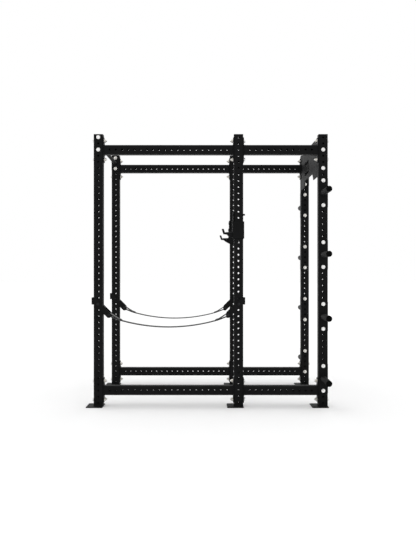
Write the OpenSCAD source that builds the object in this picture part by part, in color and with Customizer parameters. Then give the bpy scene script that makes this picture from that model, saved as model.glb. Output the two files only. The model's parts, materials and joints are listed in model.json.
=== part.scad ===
// Six-upright power cage: a main bay, a plate-storage bay behind it, two J-cups and two strap safeties.
// +X runs from the open front to the storage end, +Y from the right side to the left side, +Z up.
// The origin is at the middle of the footprint, on the floor. Millimetres.

/* [Frame] */
// Height of an upright tube above its foot plate
upright_h = 2235.2; // [2032:50.8:2438.4]
// Side of the square tube that the whole frame is made of
tube = 76.2; // [70:0.1:80]
// Wall of the square tube
wall = 3; // [2:0.5:4.5]
// Outer corner radius of the square tube
corner_r = 6; // [4.5:0.5:9]
// Clear length of the main bay, between upright faces
main_bay = 1077.5; // [900:0.5:1300]
// Clear length of the storage bay, between upright faces
store_bay = 619; // [500:1:800]
// Clear width between the right and the left uprights
inner_w = 1076; // [1000:1:1200]

/* [Hole pattern] */
// Distance between holes on one face
pitch = 50.8; // [50:0.1:51]
// Diameter of the attachment holes
hole_d = 16; // [16:0.1:18]
// Holes along a main bay beam
main_holes = 20; // [8:1:21]
// Holes along a storage bay beam
store_holes = 11; // [4:1:12]

/* [Plates] */
// Thickness of the welded flanges and plates
plate_t = 6.35; // [5:0.05:8]
// Height of a beam's end flange
flange_h = 203.2; // [190:0.1:215]
// Cut corner of the flanges
corner_cut = 9; // [0:1:15]
// Distance of the two bolts of a beam flange
flange_bolts = 152.4; // [150:0.1:155]
// Depth of a beam's centre line below the upright's top, and above its foot
beam_drop = 127; // [120:0.1:140]

/* [Pull-up bar and rear plate] */
// Diameter of the pull-up bar
bar_d = 31.75; // [28:0.05:38]
// Depth of the pull-up bar's centre below the upright's top
bar_drop = 76.2; // [70:0.1:90]
// Depth of the rear plate's top edge below the upright's top
rear_top = 16; // [5:1:30]
// Height of the rear plate at its ends
rear_end_h = 324; // [300:1:360]
// Height of the rear plate across its middle
rear_mid_h = 264; // [230:1:290]

/* [Weight pegs] */
// Outer diameter of a weight peg
peg_d = 48.3; // [42:0.1:50]
// Reach of a weight peg from the upright's face
peg_reach = 305; // [200:1:350]
// Height of a weight peg's plate
peg_plate_h = 254; // [240:1:270]

/* [Feet] */
// Reach of a foot plate in front of its upright's centre
foot_front = 95; // [80:1:120]
// Reach of a foot plate behind its upright's centre
foot_back = 40; // [39:1:45]
// Width of a foot plate
foot_w = 186; // [160:1:200]
// Diameter of the floor anchor holes
anchor_d = 14; // [10:1:16]

/* [Strap safeties] */
// Width of the webbing
strap_w = 73; // [50:1:74]
// Thickness of the webbing
strap_t = 7; // [5:0.5:8]
// Height of the webbing's underside at the middle of the bay
strap_low = 651; // [620:0.5:700]
// Radius of the webbing's hanging curve
strap_r = 1460; // [1200:1:1700]

/* [J-cups] */
// Length of a J-cup's shelf in front of its back plate
shelf_l = 62; // [45:1:70]
// Width of a J-cup's hook
hook_w = 60; // [50:1:70]

/* [Hidden] */
$fn = 48;
eps = 0.5;

half = tube / 2;
y_up = (inner_w + tube) / 2; // centre line of the side frames
y_out = inner_w / 2 + tube;
z0 = plate_t; // uprights stand on the foot plates
z_top = z0 + upright_h;

// fasteners, 5/8 inch
bolt_r = 7.9;
head_af = 23.8;
head_h = 9.9;
nut_h = 13.9;
bolt_tail = 8;
washer_r = 16.7;
washer_t = 2.4;

// lengthwise stations of the three upright rows
span_x = foot_front + main_bay + store_bay + 2 * tube + half + washer_t + head_h;
x_front = foot_front - span_x / 2;
x_mid = x_front + main_bay + tube;
x_rear = x_mid + store_bay + tube;

side_holes = floor(upright_h / pitch); // holes on the faces that look sideways
z_side = [for (i = [0 : side_holes - 1]) z_top - pitch * (i + 0.5)];
z_face = [for (i = [1 : side_holes - 1]) z_top - pitch * i];

beam_z = [z_top - beam_drop, z0 + beam_drop];
beam_bolt_z = [for (z = beam_z, s = [-1, 1]) z + s * flange_bolts / 2];

// side hole rows used by the bolts, counted from the top
bar_rows = [0, 2];
plate_rows = [2, 5];
peg_rows = [9, 19, 29, 39];
peg_bolt = 2; // rows above and below the peg
pin_row = 27; // hitch pins of the strap hangers

jcup_pin_z = z_face[12];
shelf_z = z_top - 808;

// floor anchor holes of a foot
anchor_x = 95;
anchor_y = 142;

// strap hanger outline, measured from the upright's centre towards the bay
hanger_gap = 0.5;
hanger_t = 5;
web_x = half + 16;
web_z = z_face[26];
web_h = 58;
arm_tip = 102;
tip_z = 731;
arm_h = 64; // height of the sloping arm, measured upright
arm_z = web_z + 3; // height at which the arm's upper edge would cross the upright's centre line
arm_cut = 6;
loop_x = 86;
loop_z = 757;
loop_pin_r = 8;
loop_gap = 0.3;

black = "#1d1d1f";
liner_black = "#2a2b2e";
zinc = "#d6d8da";
rubber = "#151515";
webbing = "#303236";

// square with round corners, centred
module round_square(side, r) {
    square([side - 2 * r, side], center = true);
    square([side, side - 2 * r], center = true);
    for (x = [-1, 1], y = [-1, 1])
        translate([x, y] * (side / 2 - r)) circle(r);
}

module tube_profile() {
    difference() {
        round_square(tube, corner_r);
        round_square(tube - 2 * wall, corner_r - wall);
    }
}

// rectangle with cut corners, centred
module cut_rect(w, h, c) {
    polygon([[-w / 2 + c, -h / 2], [w / 2 - c, -h / 2], [w / 2, -h / 2 + c], [w / 2, h / 2 - c],
        [w / 2 - c, h / 2], [-w / 2 + c, h / 2], [-w / 2, h / 2 - c], [-w / 2, -h / 2 + c]]);
}

// slot with round ends, centred
module long_slot(length, width) {
    square([length - width, width], center = true);
    for (s = [-1, 1]) translate([s * (length - width) / 2, 0]) circle(d = width);
}

// plate of thickness t that stands in the YZ plane and reaches from x = 0 to x = t
module plate_yz(t) {
    rotate([90, 0, 90]) linear_extrude(t) children();
}

// plate of thickness t that stands in the XZ plane and reaches from y = 0 to y = t
module plate_xz(t) {
    translate([0, t, 0]) rotate([90, 0, 0]) linear_extrude(t) children();
}

module rod_x(r, from, to) {
    translate([from, 0, 0]) rotate([0, 90, 0]) cylinder(r = r, h = to - from);
}

module rod_y(r, from, to) {
    translate([0, from, 0]) rotate([-90, 0, 0]) cylinder(r = r, h = to - from);
}

// ---- frame ----

module upright(x, side) {
    color(black) translate([x, side * y_up, 0]) difference() {
        translate([0, 0, z0]) linear_extrude(upright_h) tube_profile();
        for (z = z_side) translate([0, 0, z]) rod_y(hole_d / 2, -half - 1, half + 1);
        for (z = z_face) translate([0, 0, z]) rod_x(hole_d / 2, -half - 1, half + 1);
    }
}

module upright_caps() {
    plug = tube - 2 * wall - 0.4;
    lip_r = corner_r - wall;
    color(rubber) for (x = [x_front, x_mid, x_rear], side = [-1, 1])
        translate([x, side * y_up, z_top]) difference() {
            translate([0, 0, -12]) linear_extrude(12) round_square(plug, lip_r);
            translate([0, 0, -13]) linear_extrude(10) round_square(plug - 6, lip_r);
        }
}

module beam(x, length, side, z, holes) {
    color(black) translate([x + length / 2, side * y_up, z]) {
        difference() {
            rotate([0, 90, 0]) linear_extrude(length - plate_t, center = true) tube_profile();
            for (i = [0 : holes - 1]) translate([(i - (holes - 1) / 2) * pitch, 0, 0])
                rod_y(hole_d / 2, -half - 1, half + 1);
        }
        for (end = [-1, 1]) translate([end * (length - plate_t) / 2 - plate_t / 2, 0, 0])
            plate_yz(plate_t) difference() {
                cut_rect(tube, flange_h, corner_cut);
                for (s = [-1, 1]) translate([0, s * flange_bolts / 2]) circle(d = hole_d);
            }
    }
}

module main_beam(side, level) {
    beam(x_front + half, main_bay, side, beam_z[level], main_holes);
}

module store_beam(side, level) {
    beam(x_mid + half, store_bay, side, beam_z[level], store_holes);
}

module foot(x, side) {
    color(black) translate([x + (foot_back - foot_front) / 2, side * y_up, 0])
        linear_extrude(plate_t) difference() {
            cut_rect(foot_front + foot_back, foot_w, 6);
            for (s = [-1, 1], e = [-1, 1])
                translate([e * anchor_x / 2, s * anchor_y / 2]) circle(d = anchor_d);
        }
}

module pull_up_bar() {
    plate_h = 2 * bar_drop;
    color(black) translate([x_front, 0, z_top - bar_drop]) {
        rod_y(bar_d / 2, -inner_w / 2 + plate_t / 2, inner_w / 2 - plate_t / 2);
        for (side = [-1, 1]) translate([0, side * (inner_w - plate_t) / 2 - plate_t / 2, 0])
            plate_xz(plate_t) difference() {
                cut_rect(tube, plate_h, corner_cut);
                for (row = bar_rows) translate([0, z_side[row] - z_top + bar_drop]) circle(d = hole_d);
            }
    }
}

// storage end cross plate, cut away along the middle of its lower edge, with two long slots
module rear_plate() {
    w = inner_w / 2 - plate_t / 2;
    mid = 240; // half length of the shallow middle
    slope = 60;
    slot_y = 138;
    slot_l = 292;
    slot_h = 30;
    flange_z = (z_side[plate_rows[0]] + z_side[plate_rows[1]]) / 2;
    color(black) {
        translate([x_rear - half, 0, z_top - rear_top]) plate_yz(plate_t) difference() {
            polygon([[-w, 0], [w, 0], [w, -rear_end_h], [mid + slope, -rear_end_h], [mid, -rear_mid_h],
                [-mid, -rear_mid_h], [-mid - slope, -rear_end_h], [-w, -rear_end_h]]);
            for (drop = [116, 206]) translate([slot_y, -drop]) long_slot(slot_l, slot_h);
        }
        for (side = [-1, 1]) translate([x_rear, side * (inner_w - plate_t) / 2 - plate_t / 2, flange_z])
            plate_xz(plate_t) difference() {
                cut_rect(tube, flange_h, corner_cut);
                for (row = plate_rows) translate([0, z_side[row] - flange_z]) circle(d = hole_d);
            }
    }
}

// ---- weight storage ----

module weight_peg(side, number) {
    row = peg_rows[number - 1];
    peg_wall = 3.5;
    color(black) translate([x_rear, side * y_out, z_side[row]]) mirror([0, side < 0 ? 1 : 0, 0]) {
        plate_xz(plate_t) difference() {
            cut_rect(tube, peg_plate_h, corner_cut);
            for (s = [-1, 1]) translate([0, s * peg_bolt * pitch]) circle(d = hole_d);
        }
        difference() {
            rod_y(peg_d / 2, plate_t - 1, peg_reach);
            rod_y(peg_d / 2 - peg_wall, plate_t, peg_reach + 1);
        }
    }
}

module peg_end_caps() {
    inner_r = peg_d / 2 - 3.5;
    color(rubber) for (side = [-1, 1], row = peg_rows)
        translate([x_rear, side * y_out, z_side[row]]) mirror([0, side < 0 ? 1 : 0, 0])
            rod_y(inner_r - 0.1, peg_reach - 14, peg_reach - 3);
}

// ---- fasteners: every set lies along +Z, with the head side of the joint at z = 0 ----

module bolt(grip) {
    color(zinc) {
        translate([0, 0, -washer_t - head_h]) cylinder(r = head_af / sqrt(3), h = head_h, $fn = 6);
        translate([0, 0, -washer_t - eps]) cylinder(r = bolt_r, h = grip + 2 * washer_t + nut_h + bolt_tail);
    }
}

module washer() {
    color(zinc) difference() {
        cylinder(r = washer_r, h = washer_t);
        translate([0, 0, -1]) cylinder(r = bolt_r + 0.4, h = washer_t + 2);
    }
}

module washers(grip) {
    translate([0, 0, -washer_t]) washer();
    translate([0, 0, grip]) washer();
}

module nut(grip) {
    color(zinc) translate([0, 0, grip + washer_t]) difference() {
        cylinder(r = head_af / sqrt(3), h = nut_h, $fn = 6);
        translate([0, 0, -1]) cylinder(r = bolt_r + 0.06, h = nut_h + 2);
    }
}

// through bolts of the beam flanges: [centre of the upright, head face, direction, grip]
beam_sets = [
    [x_front, -half, 1, tube + plate_t],
    [x_mid, half + plate_t, -1, tube + 2 * plate_t],
    [x_rear, half, -1, tube + plate_t]];

module beam_sites(kind) {
    for (set = beam_sets, side = [-1, 1], z = beam_bolt_z)
        translate([set[0] + set[1], side * y_up, z]) rotate([0, set[2] * 90, 0]) fastener(kind, set[3]);
}

// through bolts across the cage: [centre of the upright, height]
cross_sets = [
    for (row = bar_rows) [x_front, z_side[row]],
    for (row = plate_rows) [x_rear, z_side[row]]];

module cross_sites(kind) {
    for (set = cross_sets, side = [-1, 1])
        translate([set[0], side * y_out, set[1]]) rotate([side * 90, 0, 0])
            fastener(kind, tube + plate_t);
}

module peg_sites(kind) {
    for (side = [-1, 1], row = peg_rows, s = [-1, 1])
        translate([x_rear, side * (y_out + plate_t), z_side[row + s * peg_bolt]])
            rotate([side * 90, 0, 0]) fastener(kind, tube + plate_t);
}

module fastener(kind, grip) {
    if (kind == "bolt") bolt(grip);
    if (kind == "washer") washers(grip);
    if (kind == "nut") nut(grip);
}

// ---- J-cups: drawn on a centre line at y = 0, with x = 0 at the upright's front face ----

back_t = 8;
liner_t = 6;
wing_t = 6;
wing_gap = 0.6;
wing_top = 90; // above the shelf
wing_low = -50;

module at_jcup(side) {
    translate([x_mid - half, side * y_up, shelf_z]) children();
}

// outline of the hook: x runs out from the upright, y is the height above the shelf
module hook_outline() {
    tip = back_t + liner_t + shelf_l;
    polygon([[back_t - 1, 0], [tip, -4], [tip + 10, 30], [tip + 24, 30], [tip + 10, -12], [tip - 16, -15],
        [tip - 34, -30], [back_t - 1, -49]]);
}

module jcup(side) {
    wing_in = half + wing_gap;
    color(black) at_jcup(side) mirror([1, 0, 0]) {
        // back plate against the upright, with the pin's seat
        difference() {
            translate([0, 0, (jcup_pin_z - shelf_z + 26 + wing_low) / 2])
                plate_yz(back_t) cut_rect(2 * (wing_in + wing_t), jcup_pin_z - shelf_z + 26 - wing_low, 12);
            translate([0, 0, jcup_pin_z - shelf_z]) rod_x(bolt_r + 0.05, -1, back_t + 1);
        }
        // wings along the upright's sides
        for (s = [-1, 1]) translate([-tube - 8, s * (wing_in + wing_t / 2) - wing_t / 2, wing_low])
            cube([tube + 8 + back_t, wing_t, wing_top - wing_low]);
        // two hook plates with the liner between them
        for (s = [-1, 1]) translate([0, s * (hook_w / 2 - wing_t / 2) - wing_t / 2, 0])
            plate_xz(wing_t) hook_outline();
    }
}

module jcup_liner(side) {
    core = hook_w / 2 - wing_t;
    tip = back_t + liner_t + shelf_l;
    color(liner_black) at_jcup(side) mirror([1, 0, 0]) {
        translate([0, -core, 0]) plate_xz(2 * core)
            polygon([[back_t, 0], [back_t, 96], [back_t + liner_t, 96], [back_t + liner_t, 9],
                [back_t + liner_t + 6, 4.5], [tip - 12, 3.5], [tip - 2, 1.5], [tip + 7.5, 30],
                [tip + 21, 28], [tip + 8, -10], [tip - 16, -13], [tip - 34, -28], [back_t, -46]]);
    }
}

module jcup_pin(side) {
    color(zinc) at_jcup(side) mirror([1, 0, 0]) translate([0, 0, jcup_pin_z - shelf_z]) {
        rod_x(bolt_r, -tube - 16, back_t);
        rod_x(bolt_r + 4, back_t, back_t + 4);
    }
}

// ---- strap safeties: x runs from the upright's centre into the bay ----

// toward is 1 where the bay lies on the +X side of the upright
module at_hanger(x, side, toward) {
    translate([x, side * y_up, 0]) mirror([toward < 0 ? 1 : 0, 0, 0]) children();
}

// side view of a hanger: the block round the upright and the arm that slopes down at 45 degrees
module cheek_outline() {
    low = web_z - web_h / 2;
    high = web_z + web_h / 2;
    tip_top = arm_z - arm_tip;
    polygon([[-web_x, low], [arm_z - arm_h - low, low], [arm_z - arm_h - tip_z, tip_z],
        [arm_tip - arm_cut, tip_z], [arm_tip, tip_z + arm_cut], [arm_tip, tip_top - arm_cut],
        [arm_tip - arm_cut, tip_top + arm_cut], [arm_z - high, high], [-web_x, high]]);
}

module strap_hanger(x, side, toward) {
    cheek_y = half + hanger_gap;
    color(black) at_hanger(x, side, toward) {
        difference() {
            for (s = [-1, 1]) translate([0, s * (cheek_y + hanger_t / 2) - hanger_t / 2, 0])
                plate_xz(hanger_t) cheek_outline();
            translate([0, 0, z_side[pin_row]]) rod_y(bolt_r + 0.4, -tube, tube);
            translate([loop_x, 0, loop_z]) rod_y(loop_pin_r + 0.1, -tube, tube);
        }
        translate([-web_x, -cheek_y - 1, web_z - web_h / 2]) cube([plate_t, 2 * cheek_y + 2, web_h]);
        translate([0, 0, web_z]) rod_x(bolt_r, -web_x + plate_t - 1, -half + wall + 12);
    }
}

module hitch_pin(x, side) {
    out = half + hanger_gap + hanger_t;
    color(zinc) translate([x, side * y_up, z_side[pin_row]]) mirror([0, side < 0 ? 1 : 0, 0]) {
        rod_y(bolt_r - 0.3, -out - 9, out + 4);
        rod_y(14, out + 0.2, out + 6.2);
    }
}

// headed pins that the webbing loops hang on
module strap_anchor_pins() {
    out = half + hanger_gap + hanger_t;
    color(zinc) for (side = [-1, 1], end = [[x_front, 1], [x_mid, -1]])
        at_hanger(end[0], side, end[1]) translate([loop_x, 0, loop_z]) {
            rod_y(loop_pin_r, -out, out);
            for (s = [-1, 1]) rod_y(12, s > 0 ? out : -out - 4, s > 0 ? out + 4 : -out);
        }
}

// hanging webbing; each end runs round an anchor pin and is sewn back onto the top of the strap
module strap(side) {
    eye_in = loop_pin_r + loop_gap;
    x_a = x_front + loop_x;
    x_b = x_mid - loop_x;
    chord = (x_b - x_a) / 2;
    top_leg = [34.5, 84]; // slope in degrees, length
    low_leg = [21.1, 91];
    leg_in = eye_in + 0.4; // the legs are a little thinner than the eye, and end inside the bands
    leg_t = strap_t - 0.8;
    color(webbing) translate([(x_a + x_b) / 2, side * y_up - strap_w / 2, 0]) plate_xz(strap_w) {
        hanging_band(0, strap_t, -414, 828);
        for (s = [-1, 1]) {
            hanging_band(strap_t / 2, 1.7 * strap_t, s > 0 ? 385 : -421, 36);
            mirror([s < 0 ? 1 : 0, 0]) translate([chord, loop_z]) {
                difference() {
                    circle(eye_in + strap_t);
                    circle(eye_in);
                }
                rotate(top_leg[0]) translate([-top_leg[1], leg_in]) square([top_leg[1], leg_t]);
                rotate(low_leg[0]) translate([-low_leg[1], -leg_in - leg_t]) square([low_leg[1], leg_t]);
            }
        }
    }
}

// slice of the hanging curve, between two heights above its underside and from one x on
module hanging_band(under, over, from, length) {
    intersection() {
        translate([0, strap_low + strap_r]) difference() {
            circle(strap_r - under, $fn = 600);
            circle(strap_r - over, $fn = 600);
        }
        translate([from, strap_low]) square([length, 120]);
    }
}

upright(x_front, -1);  // upright_front_right
upright(x_front, 1);  // upright_front_left
upright(x_mid, -1);  // upright_mid_right
upright(x_mid, 1);  // upright_mid_left
upright(x_rear, -1);  // upright_rear_right
upright(x_rear, 1);  // upright_rear_left
upright_caps();
main_beam(-1, 0);  // main_beam_top_right
main_beam(1, 0);  // main_beam_top_left
main_beam(-1, 1);  // main_beam_bottom_right
main_beam(1, 1);  // main_beam_bottom_left
store_beam(-1, 0);  // store_beam_top_right
store_beam(1, 0);  // store_beam_top_left
store_beam(-1, 1);  // store_beam_bottom_right
store_beam(1, 1);  // store_beam_bottom_left
pull_up_bar();
rear_plate();
foot(x_front, -1);  // foot_front_right
foot(x_front, 1);  // foot_front_left
foot(x_mid, -1);  // foot_mid_right
foot(x_mid, 1);  // foot_mid_left
foot(x_rear, -1);  // foot_rear_right
foot(x_rear, 1);  // foot_rear_left
weight_peg(-1, 1);  // weight_peg_right_1
weight_peg(-1, 2);  // weight_peg_right_2
weight_peg(-1, 3);  // weight_peg_right_3
weight_peg(-1, 4);  // weight_peg_right_4
weight_peg(1, 1);  // weight_peg_left_1
weight_peg(1, 2);  // weight_peg_left_2
weight_peg(1, 3);  // weight_peg_left_3
weight_peg(1, 4);  // weight_peg_left_4
peg_end_caps();
beam_sites("bolt");  // beam_bolts
beam_sites("washer");  // beam_washers
beam_sites("nut");  // beam_nuts
cross_sites("bolt");  // cross_bolts
cross_sites("washer");  // cross_washers
cross_sites("nut");  // cross_nuts
peg_sites("bolt");  // peg_bolts
peg_sites("washer");  // peg_washers
peg_sites("nut");  // peg_nuts
jcup(-1);  // jcup_right
jcup_liner(-1);  // jcup_liner_right
jcup_pin(-1);  // jcup_pin_right
jcup(1);  // jcup_left
jcup_liner(1);  // jcup_liner_left
jcup_pin(1);  // jcup_pin_left
strap_hanger(x_front, -1, 1);  // strap_hanger_front_right
strap_hanger(x_front, 1, 1);  // strap_hanger_front_left
strap_hanger(x_mid, -1, -1);  // strap_hanger_mid_right
strap_hanger(x_mid, 1, -1);  // strap_hanger_mid_left
hitch_pin(x_front, -1);  // hitch_pin_front_right
hitch_pin(x_front, 1);  // hitch_pin_front_left
hitch_pin(x_mid, -1);  // hitch_pin_mid_right
hitch_pin(x_mid, 1);  // hitch_pin_mid_left
strap_anchor_pins();
strap(-1);  // strap_right
strap(1);  // strap_left
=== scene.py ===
import json
import math

import bpy
from mathutils import Matrix, Vector


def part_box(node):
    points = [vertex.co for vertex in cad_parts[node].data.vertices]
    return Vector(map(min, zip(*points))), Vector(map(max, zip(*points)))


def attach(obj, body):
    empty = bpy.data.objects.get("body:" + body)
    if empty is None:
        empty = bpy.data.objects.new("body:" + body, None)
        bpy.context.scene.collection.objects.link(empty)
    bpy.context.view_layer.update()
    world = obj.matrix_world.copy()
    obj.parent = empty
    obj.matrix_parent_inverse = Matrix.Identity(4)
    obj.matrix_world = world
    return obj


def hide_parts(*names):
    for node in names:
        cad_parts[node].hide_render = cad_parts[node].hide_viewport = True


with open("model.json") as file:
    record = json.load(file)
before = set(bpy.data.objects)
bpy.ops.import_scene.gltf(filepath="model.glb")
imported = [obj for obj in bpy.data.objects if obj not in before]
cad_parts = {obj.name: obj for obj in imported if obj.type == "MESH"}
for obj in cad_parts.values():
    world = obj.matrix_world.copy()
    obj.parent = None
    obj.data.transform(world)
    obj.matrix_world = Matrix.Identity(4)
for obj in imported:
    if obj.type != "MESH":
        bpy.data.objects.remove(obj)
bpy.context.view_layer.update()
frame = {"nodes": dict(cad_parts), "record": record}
print("frame loaded:", len(frame["nodes"]), "nodes")
scene = bpy.context.scene
mm = 0.001


def middle(node):
    low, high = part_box(node)
    return (low + high) / 2


def span(node):
    low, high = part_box(node)
    return high - low


sides = {"right": -1, "left": 1}
rowX = {row: middle("upright_" + row + "_right").x for row in ("front", "mid", "rear")}
sideY = middle("upright_front_left").y
tubeHalf = span("upright_front_left").x / 2
plateThick = span("foot_mid_right").z
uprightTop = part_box("upright_front_left")[1].z
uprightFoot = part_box("upright_front_left")[0].z
pegRadius = 24.15 * mm
barRadius = 15.875 * mm
webbingWidth = span("strap_right").y

holes = {
    "pitch": 50.8 * mm,
    "flange": 76.2 * mm,  # from a beam's centre line to its bolts
    "barRows": (0, 2),
    "plateRows": (2, 5),
    "pegRows": (9, 19, 29, 39),
    "pegBolt": 2,
    "rearBead": 95 * mm,
}


def sideHole(step):  # height of a hole row on the uprights' side faces, counted from the top
    return uprightTop - holes["pitch"] * (step + 0.5)


cameraSetup = {
    "lens": 49.8,
    "distance": 6.15,  # from the outer faces of the right-hand uprights
    "height": 1.1205,
    "aside": 0.0,
}


def makeCamera():
    data = bpy.data.cameras.new("camera")
    data.sensor_width = 36
    data.lens = cameraSetup["lens"]
    data.clip_end = 200
    camera = bpy.data.objects.new("camera", data)
    nearFace = -sideY - tubeHalf
    camera.location = (cameraSetup["aside"], nearFace - cameraSetup["distance"], cameraSetup["height"])
    camera.rotation_euler = (math.pi / 2, 0, 0)
    scene.collection.objects.link(camera)
    scene.camera = camera
    print("camera placed")


makeCamera()


class Wire:  # one shader socket that can stand in a sum
    def __init__(self, paint, socket):
        self.paint = paint
        self.socket = socket

    def math(self, operation, first, second=None, clamp=False):
        settings = {"operation": operation, "use_clamp": clamp}
        return self.paint.add("ShaderNodeMath", settings, {0: first, 1: second})

    def __add__(self, other):
        return self.math("ADD", self, other)

    def __radd__(self, other):
        return self.math("ADD", other, self)

    def __rsub__(self, other):
        return self.math("SUBTRACT", other, self)

    def __mul__(self, other):
        return self.math("MULTIPLY", self, other)

    def __truediv__(self, other):
        return self.math("DIVIDE", self, other)

    def __abs__(self):
        return self.math("ABSOLUTE", self)

    def sine(self):
        return self.math("SINE", self)

    def whole(self):
        return self.math("FLOOR", self)

    def clipped(self):
        return self.math("ADD", self, 0.0, clamp=True)

    def step(self, low, high):  # 0 below low, 1 above high, smooth between
        settings = {"interpolation_type": "SMOOTHSTEP"}
        return self.paint.add("ShaderNodeMapRange", settings, {"Value": self, 1: low, 2: high})


class Paint:  # one material's node tree, with its shader
    def __init__(self, name, **constants):
        self.material = bpy.data.materials.new(name)
        self.material.use_nodes = True
        self.tree = self.material.node_tree
        self.shader = self.tree.nodes["Principled BSDF"]
        for socket, value in constants.items():
            self.shader.inputs[socket.replace("_", " ")].default_value = value
        self.place = self.add("ShaderNodeTexCoord", out="Object")

    def add(self, kind, settings=None, sockets=None, out=0):
        node = self.tree.nodes.new(kind)
        for name, value in (settings or {}).items():
            setattr(node, name, value)
        for name, value in (sockets or {}).items():
            if isinstance(value, Wire):
                self.tree.links.new(value.socket, node.inputs[name])
            elif value is not None:
                node.inputs[name].default_value = value
        return Wire(self, node.outputs[out])

    def feed(self, socket, wire):
        self.tree.links.new(wire.socket, self.shader.inputs[socket])

    def axes(self, vector):
        parts = self.add("ShaderNodeSeparateXYZ", None, {0: vector})
        outputs = parts.socket.node.outputs
        return [Wire(self, outputs[i]) for i in range(3)]

    def noise(self, scale, detail, roughness=0.5, stretch=None):
        vector = self.place
        if stretch:
            vector = self.add("ShaderNodeVectorMath", {"operation": "MULTIPLY"}, {0: vector, 1: stretch})
        sockets = {"Vector": vector, "Scale": scale, "Detail": detail, "Roughness": roughness}
        return self.add("ShaderNodeTexNoise", None, sockets)

    def cells(self, scale):
        return self.add("ShaderNodeTexVoronoi", None, {"Vector": self.place, "Scale": scale})

    def mix(self, amount, first, second):
        first = first if isinstance(first, Wire) else (*first, 1)
        second = (*second, 1)
        return self.add("ShaderNodeMix", {"data_type": "RGBA"}, {0: amount, 6: first, 7: second}, out=2)

    def bump(self, height, distance, strength, under=None):
        sockets = {"Height": height, "Distance": distance, "Strength": strength, "Normal": under}
        return self.add("ShaderNodeBump", None, sockets)


powderLook = {
    "dark": (0.003, 0.003, 0.0032),
    "light": (0.006, 0.006, 0.0064),
    "grain": 1100,
    "grainDepth": 0.16 * mm,
    "peel": 260,  # slow waves under the grain
    "peelDepth": 0.2 * mm,
}


# fine textured coat on every steel part
def powderCoat():
    paint = Paint("powderCoat", Specular_IOR_Level=0.08)
    cloud = paint.noise(7, 4)
    grain = paint.noise(powderLook["grain"], 2, 0.6)
    orangePeel = paint.noise(powderLook["peel"], 2)
    shade = (cloud * 0.6 + grain * 0.4).step(0.3, 0.7)
    paint.feed("Base Color", paint.mix(shade, powderLook["dark"], powderLook["light"]))
    paint.feed("Roughness", 0.46 + cloud * 0.12 + grain * 0.06)
    coarse = paint.bump(orangePeel, powderLook["peelDepth"], 0.5)
    paint.feed("Normal", paint.bump(grain, powderLook["grainDepth"], 0.8, coarse))
    return paint.material


# brightest and dullest colour of each plated part
zincLook = {
    "brightZinc": ((0.99, 0.985, 0.975), (0.86, 0.855, 0.845)),
    # the bolts' zinc is darker than the washers' zinc: painted shade that darkens the centres of the bolt
    # heads
    "boltZincPaintedShade": ((0.92, 0.915, 0.905), (0.72, 0.715, 0.705)),
    "nutZinc": ((0.8, 0.77, 0.7), (0.6, 0.57, 0.5)),
}


def zincPlate(name):
    paint = Paint(name, Metallic=0.85)
    cloud = paint.noise(60, 3)
    speck = paint.noise(1500, 2)
    bright, dull = zincLook[name]
    paint.feed("Base Color", paint.mix(cloud.step(0.35, 0.75), bright, dull))
    paint.feed("Roughness", 0.3 + cloud * 0.16 + speck * 0.06)
    paint.feed("Normal", paint.bump(speck, 0.05 * mm, 0.5))
    return paint.material


oxideLook = {"dark": (0.012, 0.012, 0.013), "light": (0.03, 0.03, 0.032)}


def blackOxide():
    paint = Paint("blackOxide", Metallic=1.0)
    cloud = paint.noise(40, 3)
    turned = paint.noise(900, 2, stretch=(1, 1, 6))
    paint.feed("Base Color", paint.mix(cloud.step(0.3, 0.7), oxideLook["dark"], oxideLook["light"]))
    paint.feed("Roughness", 0.38 + cloud * 0.15 + turned * 0.05)
    paint.feed("Normal", paint.bump(turned, 0.04 * mm, 0.6))
    return paint.material


# grey of the darkest and the lightest spots, cells of the skin per metre, gloss
plasticLook = {
    "mouldedPlastic": ((0.006, 0.006, 0.006), (0.012, 0.012, 0.012), 700, 0.3),
    "linerPlastic": ((0.012, 0.012, 0.013), (0.022, 0.022, 0.023), 300, 0.3),
    "capPlastic": ((0.001, 0.001, 0.001), (0.003, 0.003, 0.003), 700, 0.03),
    "badgeRubber": ((0.004, 0.004, 0.004), (0.008, 0.008, 0.008), 500, 0.03),
}


def mouldedPlastic(name):
    dark, light, skinScale, gloss = plasticLook[name]
    paint = Paint(name, Specular_IOR_Level=gloss)
    cloud = paint.noise(25, 3)
    skin = paint.cells(skinScale)
    paint.feed("Base Color", paint.mix(cloud.step(0.3, 0.7), dark, light))
    paint.feed("Roughness", 0.5 + cloud * 0.14)
    paint.feed("Normal", paint.bump(skin, 0.08 * mm, 0.6))
    return paint.material


webbingLook = {
    "yarn": (0.02, 0.02, 0.022),
    # the gap colour is painted shade: the weave's low points between ribs and picks are darkened where
    # shade falls
    "gap": (0.002, 0.002, 0.002),
    "worn": (0.04, 0.04, 0.042),
    "rib": 2.1 * mm,  # width of one warp rib
    "pick": 1.5 * mm,  # length of one weft pick
}


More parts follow.
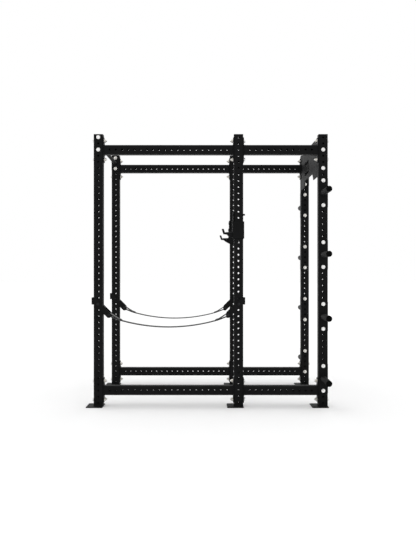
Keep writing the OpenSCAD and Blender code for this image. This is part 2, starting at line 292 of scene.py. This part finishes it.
# heavy woven webbing: ribs along the strap, with picks that step over each other from rib to rib
def wovenWebbing():
    paint = Paint("wovenWebbing", Specular_IOR_Level=0.5)
    along, across, _ = paint.axes(paint.add("ShaderNodeUVMap", {"uv_map": "webbing"}))
    turn = 2 * math.pi
    ribs = across * (turn / webbingLook["rib"])
    ribIndex = (across / webbingLook["rib"]).whole()
    picks = along * (turn / webbingLook["pick"]) + ribIndex * math.pi
    height = (abs((ribs * 0.5).sine()) * 0.6 + picks.sine() * 0.2 + 0.2).clipped()
    fuzz = paint.noise(2600, 2)
    wear = paint.noise(14, 3)
    # painted shade: the colour darkens towards the weave's low points, following the bump height
    colour = paint.mix(height, webbingLook["gap"], webbingLook["yarn"])
    worn = (wear * fuzz).step(0.2, 0.55) * 0.35
    paint.feed("Base Color", paint.mix(worn, colour, webbingLook["worn"]))
    paint.feed("Roughness", 0.6 - height * 0.28 + fuzz * 0.1)
    paint.feed("Normal", paint.bump(height + fuzz * 0.15, 0.5 * mm, 0.45))
    return paint.material


threadLook = {"dark": (0.02, 0.02, 0.021), "light": (0.06, 0.06, 0.062)}


def sewingThread():
    paint = Paint("sewingThread", Specular_IOR_Level=0.3)
    twist = paint.noise(1800, 2)
    paint.feed("Base Color", paint.mix(twist, threadLook["dark"], threadLook["light"]))
    paint.feed("Roughness", 0.6 + twist * 0.15)
    paint.feed("Normal", paint.bump(twist, 0.2 * mm, 0.7))
    return paint.material


materials = {
    "frame_black": powderCoat(),
    "bright_zinc": zincPlate("brightZinc"),
    "black_zinc": blackOxide(),
    "black_plastic": mouldedPlastic("mouldedPlastic"),
    "liner_plastic": mouldedPlastic("linerPlastic"),
    "webbing": wovenWebbing(),
}
capPlastic = mouldedPlastic("capPlastic")
badgeRubber = mouldedPlastic("badgeRubber")
# darker zinc for the bolts: painted shade for the centres of the bolt heads
boltZincPaintedShade = zincPlate("boltZincPaintedShade")
nutZinc = zincPlate("nutZinc")
seamThread = sewingThread()

# softened edges in millimetres, by the start of the node's name; the tubes are rounded already
softEdges = {
    "foot_": 0.8,
    "jcup_right": 1.0,
    "jcup_left": 1.0,
    "strap_hanger_": 1.2,
    "weight_peg_": 0.6,
    "pull_up_bar": 0.6,
    "jcup_liner_": 1.4,
    "strap_anchor_pins": 1.0,
}


def dressNodes():
    slots = {part["node"]: part["material_slot"] for part in frame["record"]["subparts"]}
    for name, node in frame["nodes"].items():
        node.data.materials.clear()
        node.data.materials.append(materials[slots[name]])
        for start, width in softEdges.items():
            if name.startswith(start):
                softenEdges(node, width * mm)
    print("frame dressed")


def softenEdges(thing, width):
    weld = thing.modifiers.new("weld", "WELD")
    weld.merge_threshold = 0.01 * mm
    bevel = thing.modifiers.new("softEdge", "BEVEL")
    bevel.width = width
    bevel.segments = 2
    bevel.limit_method = "ANGLE"
    bevel.angle_limit = math.radians(35)
    bevel.harden_normals = True


dressNodes()


class Clay:  # gathers the faces of one piece
    def __init__(self, place=None):
        self.verts = []
        self.faces = []
        self.place = place or Matrix.Identity(4)

    def put(self, verts, faces):
        start = len(self.verts)
        self.verts += [self.place @ Vector(vert) for vert in verts]
        self.faces += [[start + i for i in face] for face in faces]

    # skin over a row of rings, each a list of (x, y, z); closed joins the last to the first
    def rings(self, rings, closed=False):
        count = len(rings[0])
        verts = [vert for ring in rings for vert in ring]
        faces = []
        rows = len(rings)
        for row in range(rows if closed else rows - 1):
            here, there = row * count, (row + 1) % rows * count
            for i in range(count):
                j = (i + 1) % count
                faces.append((here + i, here + j, there + j, there + i))
        if not closed:
            faces.append(tuple(range(count - 1, -1, -1)))
            faces.append(tuple(range((rows - 1) * count, rows * count)))
        self.put(verts, faces)

    def turned(self, profile, steps=32, closed=False):
        self.rings([circleRing(radius, z, steps) for radius, z in profile], closed)

    def piece(self, name, look, slotName, body="frame", stands=(), smooth=35):
        mesh = bpy.data.meshes.new(name)
        mesh.from_pydata([vert[:] for vert in self.verts], [], self.faces)
        mesh.validate()
        mesh.shade_smooth()
        mesh.set_sharp_from_angle(angle=math.radians(smooth))
        mesh.materials.append(look)
        thing = bpy.data.objects.new(name, mesh)
        scene.collection.objects.link(thing)
        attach(thing, body)
        if stands:
            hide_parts(*stands)
        return thing


def facing(point, direction):  # places a shape whose axis is z
    turn = Vector(direction).to_track_quat("Z", "Y").to_matrix().to_4x4()
    return Matrix.Translation(Vector(point)) @ turn


fastener = {
    "boltRadius": 7.9,
    "headFlats": 23.8,
    "headHeight": 9.9,
    "nutHeight": 13.9,
    "washerRadius": 15.8,
    "washerThick": 2.4,
    "tail": 8,  # of the bolt beyond its nut
    "thread": 2.31,  # pitch
    "threadDepth": 1.1,
    "collar": 3.2,  # height of the nut's round end
    "round": 0.475,  # radius where the chamfers start, as a part of the flats
    "chamfer": 30,  # degrees, on the corners of heads and nuts
}


def hexRadius(angle, flats):
    return flats / 2 / math.cos((angle + math.pi / 6) % (math.pi / 3) - math.pi / 6)


def hexRing(z, flats, chamfered=0):  # chamfered: +1 cuts the corners above, -1 below
    ring = []
    steps = 36
    fall = math.tan(math.radians(fastener["chamfer"]))
    for i in range(steps):
        angle = 2 * math.pi * i / steps
        radius = hexRadius(angle, flats)
        height = z - chamfered * (radius - fastener["round"] * flats) * fall
        ring.append((radius * math.cos(angle), radius * math.sin(angle), height))
    return ring


def circleRing(radius, z, steps=36):
    angles = [2 * math.pi * i / steps for i in range(steps)]
    return [(radius * math.cos(a), radius * math.sin(a), z) for a in angles]


# one through bolt in millimetres along +z, the head's bearing face at -washerThick
def addBolt(clay, grip):
    f = fastener
    seat = -f["washerThick"]
    flats, top = f["headFlats"], seat - f["headHeight"]
    tailEnd = grip + f["washerThick"] + f["nutHeight"] + f["tail"]
    head = [
        circleRing(0.45 * flats, top + 0.9),
        circleRing(f["round"] * flats - 0.6, top + 0.1),
        circleRing(f["round"] * flats, top),
        hexRing(top, flats, -1),
        hexRing(seat - 0.6, flats),
        circleRing(0.47 * flats, seat - 0.6),
        circleRing(0.47 * flats, seat),
        circleRing(f["boltRadius"], seat),
    ]
    shank = [circleRing(f["boltRadius"], grip - 4)]
    turns = int((tailEnd - 1.5 - grip) / f["thread"])
    for i in range(turns):
        z = grip + i * f["thread"]
        shank.append(circleRing(f["boltRadius"] - f["threadDepth"], z))
        shank.append(circleRing(f["boltRadius"], z + f["thread"] * 0.45))
        shank.append(circleRing(f["boltRadius"], z + f["thread"] * 0.6))
    shank.append(circleRing(f["boltRadius"] - 1.2, tailEnd - 0.4))
    shank.append(circleRing(f["boltRadius"] - 1.8, tailEnd))
    clay.rings(head + shank)


def addWashers(clay, grip):
    f = fastener
    inner, outer = f["boltRadius"] + 0.35, f["washerRadius"]
    for low in (-f["washerThick"], grip):
        high = low + f["washerThick"]
        profile = [(inner, low + 0.3), (inner + 0.3, low), (outer - 0.5, low), (outer, low + 0.5),
                   (outer, high - 0.6), (outer - 0.6, high), (inner + 0.3, high), (inner, high - 0.3)]
        clay.turned(profile, 40, closed=True)


# lock nut with its round collar
def addNut(clay, grip):
    f = fastener
    low = grip + f["washerThick"]
    collar = low + f["nutHeight"] - f["collar"]
    high = low + f["nutHeight"]
    flats, bore = f["headFlats"], f["boltRadius"] + 0.08
    rings = [
        circleRing(bore + 0.8, low),
        circleRing(f["round"] * flats, low),
        hexRing(low, flats, -1),
        hexRing(collar, flats, 1),
        circleRing(f["round"] * flats, collar),
        circleRing(0.45 * flats, collar + 0.3),
        circleRing(0.44 * flats, high - 1.4),
        circleRing(0.4 * flats, high - 0.3),
        circleRing(0.36 * flats, high),
        circleRing(bore + 0.4, high - 0.4),
        circleRing(bore, high - 1.6),
        circleRing(bore, low + 0.8),
    ]
    clay.rings(rings, closed=True)


def boltSites():  # name of each set -> list of (place, grip in millimetres)
    tube, plate = 2 * tubeHalf / mm, plateThick / mm
    sites = {"beam": [], "cross": [], "peg": []}
    ends = [("front", -tubeHalf, 1, tube + plate), ("mid", tubeHalf + plateThick, -1, tube + 2 * plate),
            ("rear", tubeHalf, -1, tube + plate)]
    for side, sign in sides.items():
        for level in ("top", "bottom"):
            beam = middle("main_beam_" + level + "_" + side)
            for z in (beam.z - holes["flange"], beam.z + holes["flange"]):
                for row, offset, way, grip in ends:
                    place = facing((rowX[row] + offset, sign * sideY, z), (way, 0, 0))
                    sites["beam"].append((place, grip))
        outer = sign * (sideY + tubeHalf)
        inward = (0, -sign, 0)
        for row, steps in (("front", holes["barRows"]), ("rear", holes["plateRows"])):
            for step in steps:
                sites["cross"].append((facing((rowX[row], outer, sideHole(step)), inward), tube + plate))
        for peg in holes["pegRows"]:
            for step in (peg - holes["pegBolt"], peg + holes["pegBolt"]):
                point = (rowX["rear"], outer + sign * plateThick, sideHole(step))
                sites["peg"].append((facing(point, inward), tube + plate))
    return sites


def makeFasteners():
    shapes = {"bolts": (addBolt, boltZincPaintedShade), "washers": (addWashers, materials["bright_zinc"]),
              "nuts": (addNut, nutZinc)}
    for group, sites in boltSites().items():
        for kind, (shape, look) in shapes.items():
            clay = Clay()
            for place, grip in sites:
                clay.place = place @ Matrix.Scale(mm, 4)
                shape(clay, grip)
            node = group + "_" + kind
            clay.piece(group + kind.capitalize(), look, "bright_zinc", stands=[node], smooth=28)
    print("fasteners made")


makeFasteners()


weldLook = {
    "leg": 4.6 * mm,
    "ripple": 4.2 * mm,  # distance of the ripples
    "depth": 0.1,  # of the ripples, as a part of the leg
    "perRipple": 4,
    "sunk": 0.6 * mm,  # root of the bead, below the two faces
    "hollow": ((0, 1), (22.5, 0.86), (45, 0.8), (67.5, 0.86), (90, 1)),  # angle, part of the leg
}


# one fillet bead along a line of (point, outward direction) pairs; rise is the way the other leg climbs
def addBead(clay, line, rise, closed=True):
    look = weldLook
    rings = []
    for i, (point, out) in enumerate(line):
        phase = i % look["perRipple"] / look["perRipple"]
        size = look["leg"] * (1 - look["depth"] + 2 * look["depth"] * abs(2 * phase - 1))
        ring = [point - out * look["sunk"] - rise * look["sunk"]]
        for turn, part in look["hollow"]:
            a = math.radians(turn)
            swell = size * part
            ring.append(point + out * swell * math.cos(a) + rise * swell * math.sin(a))
        rings.append(ring)
    clay.rings(rings, closed=closed)


def beadStep():
    return weldLook["ripple"] / weldLook["perRipple"]


# line round a square tube: across and up span the flange's plane
def squareLine(centre, across, up, edges=(0, 1, 2, 3)):
    corner = 6 * mm
    flat = tubeHalf - corner
    line = []
    for side in edges:
        out = (across, up, -across, -up)[side]
        along = (up, -across, -up, across)[side]
        count = round(2 * flat / beadStep())
        for i in range(count):
            line.append((centre + out * tubeHalf + along * (-flat + 2 * flat * i / count), out))
        if side != edges[-1] or len(edges) == 4:
            for i in range(8):
                a = math.pi / 2 * i / 8
                way = out * math.cos(a) + along * math.sin(a)
                line.append((centre + out * flat + along * flat + way * corner, way))
    return line


def roundLine(centre, across, up, radius):
    count = round(2 * math.pi * radius / beadStep() / weldLook["perRipple"]) * weldLook["perRipple"]
    line = []
    for i in range(count):
        a = 2 * math.pi * i / count
        way = across * math.cos(a) + up * math.sin(a)
        line.append((centre + way * radius, way))
    return line


def makeWelds():
    x, y, z = Vector((1, 0, 0)), Vector((0, 1, 0)), Vector((0, 0, 1))
    beams, feet, pegs, bar = Clay(), Clay(), Clay(), Clay()
    for side, sign in sides.items():
        for bay in ("main", "store"):
            for level in ("top", "bottom"):
                low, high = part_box(bay + "_beam_" + level + "_" + side)
                centre = (low + high) / 2
                for end, way in ((low.x + plateThick, 1), (high.x - plateThick, -1)):
                    addBead(beams, squareLine(Vector((end, centre.y, centre.z)), y * way, z), x * way)
        for row, place in rowX.items():
            top = Vector((place, sign * sideY, uprightFoot))
            addBead(feet, squareLine(top, x, y, (1, 2, 3)), z, closed=False)
        for number in range(1, 5):
            name = "weight_peg_" + side + "_" + str(number)
            peg = middle(name)
            root = Vector((peg.x, sign * (sideY + tubeHalf + plateThick), peg.z))
            addBead(pegs, roundLine(root, x * sign, z, pegRadius), y * sign)
        low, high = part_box("pull_up_bar")
        end = Vector((rowX["front"], sign * (high.y - plateThick), (low.z + high.z) / 2))
        addBead(bar, roundLine(end, -x * sign, z, barRadius), -y * sign)
        low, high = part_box("rear_plate")
        edge = Vector((low.x + plateThick, sign * (high.y - plateThick), 0))
        count = round(2 * holes["rearBead"] / beadStep())
        middleZ = (sideHole(holes["plateRows"][0]) + sideHole(holes["plateRows"][1])) / 2
        line = []
        for i in range(count):
            height = middleZ - sign * holes["rearBead"] + sign * 2 * holes["rearBead"] * i / count
            line.append((edge + z * height, x))
        addBead(bar, line, -y * sign, closed=False)
    for clay, name in ((beams, "beamWelds"), (feet, "footWelds"), (pegs, "pegWelds"), (bar, "crossWelds")):
        clay.piece(name, materials["frame_black"], "frame_black", smooth=60)
    print("welds made")


makeWelds()


# profiles in millimetres, from inside the tube to the crown
capLook = {
    "upright": (  # inset from the tube's face, corner radius, height
        (3.4, 3, -12),
        (3.4, 3, -3.2),
        (3.2, 3, -1.2),
        (3.9, 3, -0.5),
        (5.5, 3, -0.1),
        (12, 5, 0.0),
        (24, 6, -0.2),
    ),
    "peg": (  # inset from the peg's radius, height
        (3.6, -14),
        (3.6, -1),
        (0.6, -0.6),
        (0.2, 0.2),
        (0.5, 1.4),
        (1.8, 2.4),
        (4.5, 3),
        (8, 2.9),
        (12, 2.2),
        (16, 1.8),
    ),
}


def rectRing(halfX, halfY, corner, z):  # rounded rectangle
    ring = []
    steps = 5
    for quarter, (sx, sy) in enumerate(((1, 1), (-1, 1), (-1, -1), (1, -1))):
        for i in range(steps + 1):
            a = math.pi / 2 * (quarter + i / steps)
            x = sx * (halfX - corner) + corner * math.cos(a)
            y = sy * (halfY - corner) + corner * math.sin(a)
            ring.append((x, y, z))
    return ring


# moulded plugs: a flange that closes the tube's end, with a soft crown
def makeCaps():
    tops = Clay()
    for place in rowX.values():
        for sign in sides.values():
            tops.place = Matrix.Translation((place, sign * sideY, uprightTop))
            rings = []
            for inset, corner, height in capLook["upright"]:
                half = tubeHalf - inset * mm
                rings.append(rectRing(half, half, corner * mm, height * mm))
            tops.rings(rings)
    tops.piece("uprightCaps", materials["black_plastic"], "black_plastic", stands=["upright_caps"])
    ends = Clay()
    for side, sign in sides.items():
        for number in range(1, 5):
            name = "weight_peg_" + side + "_" + str(number)
            low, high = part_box(name)
            tip = high.y if sign > 0 else low.y
            centre = Vector(((low.x + high.x) / 2, tip, (low.z + high.z) / 2))
            ends.place = facing(centre, (0, sign, 0)) @ Matrix.Scale(mm, 4)
            ends.turned([(pegRadius / mm - inset, height) for inset, height in capLook["peg"]], 48)
    ends.piece("pegCaps", capPlastic, "black_plastic", stands=["peg_end_caps"])
    print("caps made")


makeCaps()


strapLook = {
    "thick": 6.8 * mm,
    "edge": 1.6 * mm,  # radius of the woven edges
    "pinHead": 12 * mm,
    "pinRadius": 8.3 * mm,
    "curve": 1460 * mm,  # radius of the hanging stretch, at its lower face
    "lowFrom": 412 * mm,  # where the straight stretch to the pin starts
    "sewnFrom": 385 * mm,  # the folded-back end covers this stretch of the strap
    "sewnTo": 414 * mm,
    "pressed": 0.55,  # thickness of the sewn end, as a part of the webbing's
    "lowSlope": 21.1,  # degrees
    "topSlope": 34.5,
}
sewnSteps = 16


def pressed(step):  # thickness of the folded end, counted from where it meets the strap
    return 1 - (1 - strapLook["pressed"]) * min(max(step, 0) / sewnSteps, 1)


def strapPath(pinX, pinZ, lowest):  # centre line of the right half, from the middle to the sewn end
    look = strapLook
    thick = look["thick"]
    radius = look["curve"] - thick / 2
    centre = lowest + look["curve"]

    def hang(x, lift=0):
        return x, centre - math.sqrt((radius - lift) ** 2 - x ** 2)

    around = look["pinRadius"] + thick / 2
    lowSlope, topSlope = math.radians(look["lowSlope"]), math.radians(look["topSlope"])
    path = [hang(x * look["sewnTo"] / 60) for x in range(61)]
    lowStart = hang(look["lowFrom"])
    path.append(lowStart)
    lowEnd = (pinX + around * math.sin(lowSlope), pinZ - around * math.cos(lowSlope))
    path += [mixPoint(lowStart, lowEnd, i / 12) for i in range(1, 12)]
    for i in range(17):
        a = -math.pi / 2 + lowSlope + (math.pi - lowSlope + topSlope) * i / 16
        path.append((pinX + around * math.cos(a), pinZ + around * math.sin(a)))
    step = (look["sewnTo"] - look["sewnFrom"]) / sewnSteps
    sewn = []
    for i in range(sewnSteps + 1):
        lift = thick * (1 + pressed(i)) / 2 + 0.2 * mm
        sewn.append(hang(look["sewnTo"] - i * step, lift))
    path += [mixPoint(path[-1], sewn[0], i / 14) for i in range(1, 14)]
    return path + sewn


def mixPoint(a, b, t):
    return a[0] + (b[0] - a[0]) * t, a[1] + (b[1] - a[1]) * t


def relaxed(path, rounds):  # softens the kinks, keeps the ends
    for _ in range(rounds):
        inner = []
        for a, b, c in zip(path, path[1:], path[2:]):
            inner.append(((a[0] + 2 * b[0] + c[0]) / 4, (a[1] + 2 * b[1] + c[1]) / 4))
        path = [path[0]] + inner + [path[-1]]
    return path


def stripRing():  # cross-section of the webbing: (across, through)
    half, thick, edge = webbingWidth / 2, strapLook["thick"] / 2, strapLook["edge"]
    ring = []
    for way in (1, -1):
        for i in range(7):
            a = -math.pi / 2 + math.pi * i / 6
            ring.append((way * (half - edge + edge * math.cos(a)), way * thick * math.sin(a)))
        flats = 8
        for i in range(1, flats):
            ring.append((way * (half - edge) * (1 - 2 * i / flats), way * thick))
    return ring


def makeStraps():
    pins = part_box("strap_anchor_pins")
    pinX = (pins[1].x - pins[0].x) / 2 - strapLook["pinHead"]
    bayX = (pins[0].x + pins[1].x) / 2
    pinZ = (pins[0].z + pins[1].z) / 2
    for side, sign in sides.items():
        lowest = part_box("strap_" + side)[0].z
        half = relaxed(strapPath(pinX, pinZ, lowest), 3)
        path = [(-x, z) for x, z in reversed(half)] + half[1:]
        lengths = [0]
        for a, b in zip(path, path[1:]):
            lengths.append(lengths[-1] + math.dist(a, b))
        section = stripRing()
        rings = []
        for i, (x, z) in enumerate(path):
            before, after = path[max(i - 1, 0)], path[min(i + 1, len(path) - 1)]
            tangent = Vector((after[0] - before[0], 0, after[1] - before[1])).normalized()
            normal = Vector((-tangent.z, 0, tangent.x))
            spot = Vector((bayX + x, sign * sideY, z))
            flat = pressed(sewnSteps + max(-i, i - len(path) + 1))
            ring = []
            for across, through in section:
                ring.append(spot + Vector((0, across, 0)) + normal * through * flat)
            rings.append(ring)
        clay = Clay()
        clay.rings(rings)
        name = "strap" + side.capitalize()
        strap = clay.piece(name, materials["webbing"], "webbing", stands=["strap_" + side], smooth=60)
        mapWebbing(strap.data, lengths, section)
        seam = sewStrap(side, sign, bayX)
        print("strap", side, "length", round(lengths[-1], 3))


def mapWebbing(mesh, lengths, section):  # distances along and across the strap, for the weave
    layer = mesh.uv_layers.new(name="webbing")
    count = len(section)
    for loop in mesh.loops:
        row, column = divmod(loop.vertex_index, count)
        layer.data[loop.index].uv = (lengths[row], section[column][0] + webbingWidth)


stitchLook = {
    "length": 4.4 * mm,
    "gap": 1.2 * mm,
    "thick": 0.55 * mm,
    "tip": 0.3 * mm,
    "margin": 6 * mm,  # from the webbing's edges
    "inset": 4 * mm,  # from the ends of the doubled stretch
    "rows": 5,
}


# a box of stitches with zigzag rows across the doubled end, seen from above and below
def sewStrap(side, sign, bayX):
    clay = Clay()
    look = strapLook
    radius = look["curve"]
    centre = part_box("strap_" + side)[0].z + radius
    half = webbingWidth / 2 - stitchLook["margin"]
    start, end = look["sewnFrom"] + stitchLook["inset"], look["sewnTo"] - stitchLook["inset"]
    corners = [(start, -half), (end, -half), (end, half), (start, half), (start, -half)]
    rows = stitchLook["rows"]
    zigzag = [(start + (end - start) * i / rows, half if i % 2 else -half) for i in range(rows + 1)]
    top, bottom = 2 * look["thick"] + 0.3 * mm, 0
    for way in (-1, 1):
        for line in (corners, zigzag):
            for (x0, y0), (x1, y1) in zip(line, line[1:]):
                length = math.dist((x0, y0), (x1, y1))
                count = max(1, int(length / (stitchLook["length"] + stitchLook["gap"])))
                for i in range(count):
                    a, b = (i + 0.1) / count, (i + 0.9) / count
                    for lift in (top, bottom):
                        ends = []
                        for t in (a, b):
                            x, y = x0 + (x1 - x0) * t, y0 + (y1 - y0) * t
                            z = centre - math.sqrt((radius - lift) ** 2 - x ** 2)
                            ends.append(Vector((bayX + way * x, sign * sideY + y, z)))
                        addStitch(clay, ends[0], ends[1])
    return clay.piece("strapSeams" + side.capitalize(), seamThread, "webbing", smooth=60)


def addStitch(clay, start, end):
    r, tip = stitchLook["thick"], stitchLook["tip"]
    length = (end - start).length
    clay.place = facing(start, end - start)
    clay.turned([(r * 0.4, -tip), (r, tip), (r, length - tip), (r * 0.4, length + tip)], 6)


makeStraps()


pinLook = {
    "flutes": 18,
    "fluteDepth": 0.7,
    "neck": 1.2,
    "steps": 72,
    "hitch": (7.6, 14, 6),  # radius of the shank and of the knob, thickness of the knob
    "jcup": (7.9, 11.9, 4),
}


def flutedRing(radius, z, depth):
    ring = []
    for i in range(pinLook["steps"]):
        a = 2 * math.pi * i / pinLook["steps"]
        r = radius - depth * abs(math.sin(pinLook["flutes"] / 2 * a))
        ring.append((r * math.cos(a), r * math.sin(a), z))
    return ring


# one pin in millimetres along +z from its tip, with a fluted knob at the end
def addPin(clay, length, radius, knob, knobThick):
    flute, start, steps = pinLook["fluteDepth"], length - knobThick, pinLook["steps"]
    plain = [
        (radius - 2.2, 0),
        (radius - 0.6, 1.8),
        (radius, 3.4),
        (radius, 11),
        (radius - 0.5, 11.4),  # groove of the detent
        (radius - 0.5, 13.4),
        (radius, 13.8),
        (radius, start - 2),
        (radius + pinLook["neck"], start - 0.2),
    ]
    rings = [circleRing(r, z, steps) for r, z in plain]
    rings += [
        flutedRing(knob - 1, start, 0),
        flutedRing(knob, start + 0.9, flute),
        flutedRing(knob, length - 1.2, flute),
        flutedRing(knob - 1.2, length, 0),
        circleRing(knob * 0.62, length, steps),
        circleRing(knob * 0.55, length - 0.7, steps),
    ]
    clay.rings(rings)


def makePins():
    for row in ("front", "mid"):
        for side, sign in sides.items():
            node = "hitch_pin_" + row + "_" + side
            low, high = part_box(node)
            tip = Vector(((low.x + high.x) / 2, low.y if sign > 0 else high.y, (low.z + high.z) / 2))
            clay = Clay(facing(tip, (0, sign, 0)) @ Matrix.Scale(mm, 4))
            addPin(clay, (high.y - low.y) / mm, *pinLook["hitch"])
            name = "hitchPin" + row.capitalize() + side.capitalize()
            clay.piece(name, materials["black_zinc"], "black_zinc", "pin_" + row + "_" + side, [node], 25)
    for side in sides:
        node = "jcup_pin_" + side
        low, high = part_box(node)
        tip = Vector((high.x, (low.y + high.y) / 2, (low.z + high.z) / 2))
        clay = Clay(facing(tip, (-1, 0, 0)) @ Matrix.Scale(mm, 4))
        addPin(clay, (high.x - low.x) / mm, *pinLook["jcup"])
        name = "jcupPin" + side.capitalize()
        clay.piece(name, materials["black_zinc"], "black_zinc", "jcup_body_" + side, [node], 25)
    print("pins made")


makePins()


screwLook = {
    "radius": 5.2,
    "height": 2.6,
    "socket": 2.4,
    "back": 6 * mm,  # from the liner's rear face
    "rows": (14 * mm, 48 * mm),  # below the liner's top
    "aside": 13 * mm,
}


def addScrew(clay):  # button head with a hexagon socket, in millimetres along +z
    r, h, socket = screwLook["radius"], screwLook["height"], screwLook["socket"]
    clay.rings([
        circleRing(r, -1),
        circleRing(r, 0.5),
        circleRing(r * 0.86, h * 0.7),
        circleRing(r * 0.62, h),
        circleRing(socket + 0.5, h),
        hexRing(h - 0.2, 2 * socket * 0.95),
        hexRing(0.9, 2 * socket * 0.95),
    ])


# the four screws that hold each J-cup's liner
def makeLinerScrews():
    s = screwLook
    for side, sign in sides.items():
        low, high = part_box("jcup_liner_" + side)
        back, y = high.x - s["back"], sign * sideY
        clay = Clay()
        for below in s["rows"]:
            for offset in (-s["aside"], s["aside"]):
                place = (back, y + offset, high.z - below)
                clay.place = facing(place, (-1, 0, 0)) @ Matrix.Scale(mm, 4)
                addScrew(clay)
        name = "linerScrews" + side.capitalize()
        clay.piece(name, materials["black_zinc"], "black_zinc", "jcup_body_" + side)
    print("liner screws made")


makeLinerScrews()


badgeLook = {
    "low": 190 * mm,  # edges below the rear plate's top
    "high": 132 * mm,
    "from": -8 * mm,  # ends across the cage
    "to": 284 * mm,
    "corner": 6 * mm,
    "profile": ((0, -0.5), (0, 1.3), (0.5, 1.6), (3, 1.6), (3.6, 1.0), (12, 1.0)),  # inset, lift in mm
}


# plain blank panel between the rear plate's slots, with a raised rim
def makeBadge():
    b = badgeLook
    low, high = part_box("rear_plate")
    face = low.x
    width, height = b["to"] - b["from"], b["low"] - b["high"]
    centre = (face, (b["from"] + b["to"]) / 2, high.z - (b["low"] + b["high"]) / 2)
    clay = Clay(Matrix.Translation(centre) @ Matrix.Rotation(-math.pi / 2, 4, "Y"))
    rings = []
    for inset, lift in b["profile"]:
        corner = max(b["corner"] - inset * mm, 1 * mm)
        halfX, halfY = height / 2 - inset * mm, width / 2 - inset * mm
        rings.append(rectRing(halfX, halfY, corner, lift * mm))
    clay.rings(rings)
    clay.piece("rearBadge", badgeRubber, "liner_plastic", smooth=30)
    print("badge made")


makeBadge()


stageLook = {
    "floor": (0.95, 0.95, 0.95),
    "floorHalf": 60,
    "sky": 1.0,
    "sun": 0.4,
    "sunSpread": 90,  # degrees
    "sunTilt": -6,
}


def makeStage():
    size = stageLook["floorHalf"]
    mesh = bpy.data.meshes.new("floor")
    corners = [(-size, -size, 0), (size, -size, 0), (size, size, 0), (-size, size, 0)]
    mesh.from_pydata(corners, [], [(0, 1, 2, 3)])
    floor = bpy.data.objects.new("floor", mesh)
    scene.collection.objects.link(floor)
    paint = Paint("paleFloor", Roughness=0.9, Specular_IOR_Level=0.1)
    paint.shader.inputs["Base Color"].default_value = (*stageLook["floor"], 1)
    mesh.materials.append(paint.material)
    world = bpy.data.worlds.new("studio")
    world.use_nodes = True
    sky = world.node_tree.nodes["Background"]
    sky.inputs["Color"].default_value = (1, 1, 1, 1)
    sky.inputs["Strength"].default_value = stageLook["sky"]
    scene.world = world
    print("stage made")


def overheadSun():
    data = bpy.data.lights.new("overheadSun", "SUN")
    data.energy = stageLook["sun"]
    data.angle = math.radians(stageLook["sunSpread"])
    lamp = bpy.data.objects.new("overheadSun", data)
    lamp.rotation_euler = (math.radians(stageLook["sunTilt"]), 0, 0)
    scene.collection.objects.link(lamp)
    print("sun placed")


makeStage()
overheadSun()
scene.view_settings.view_transform = "Standard"
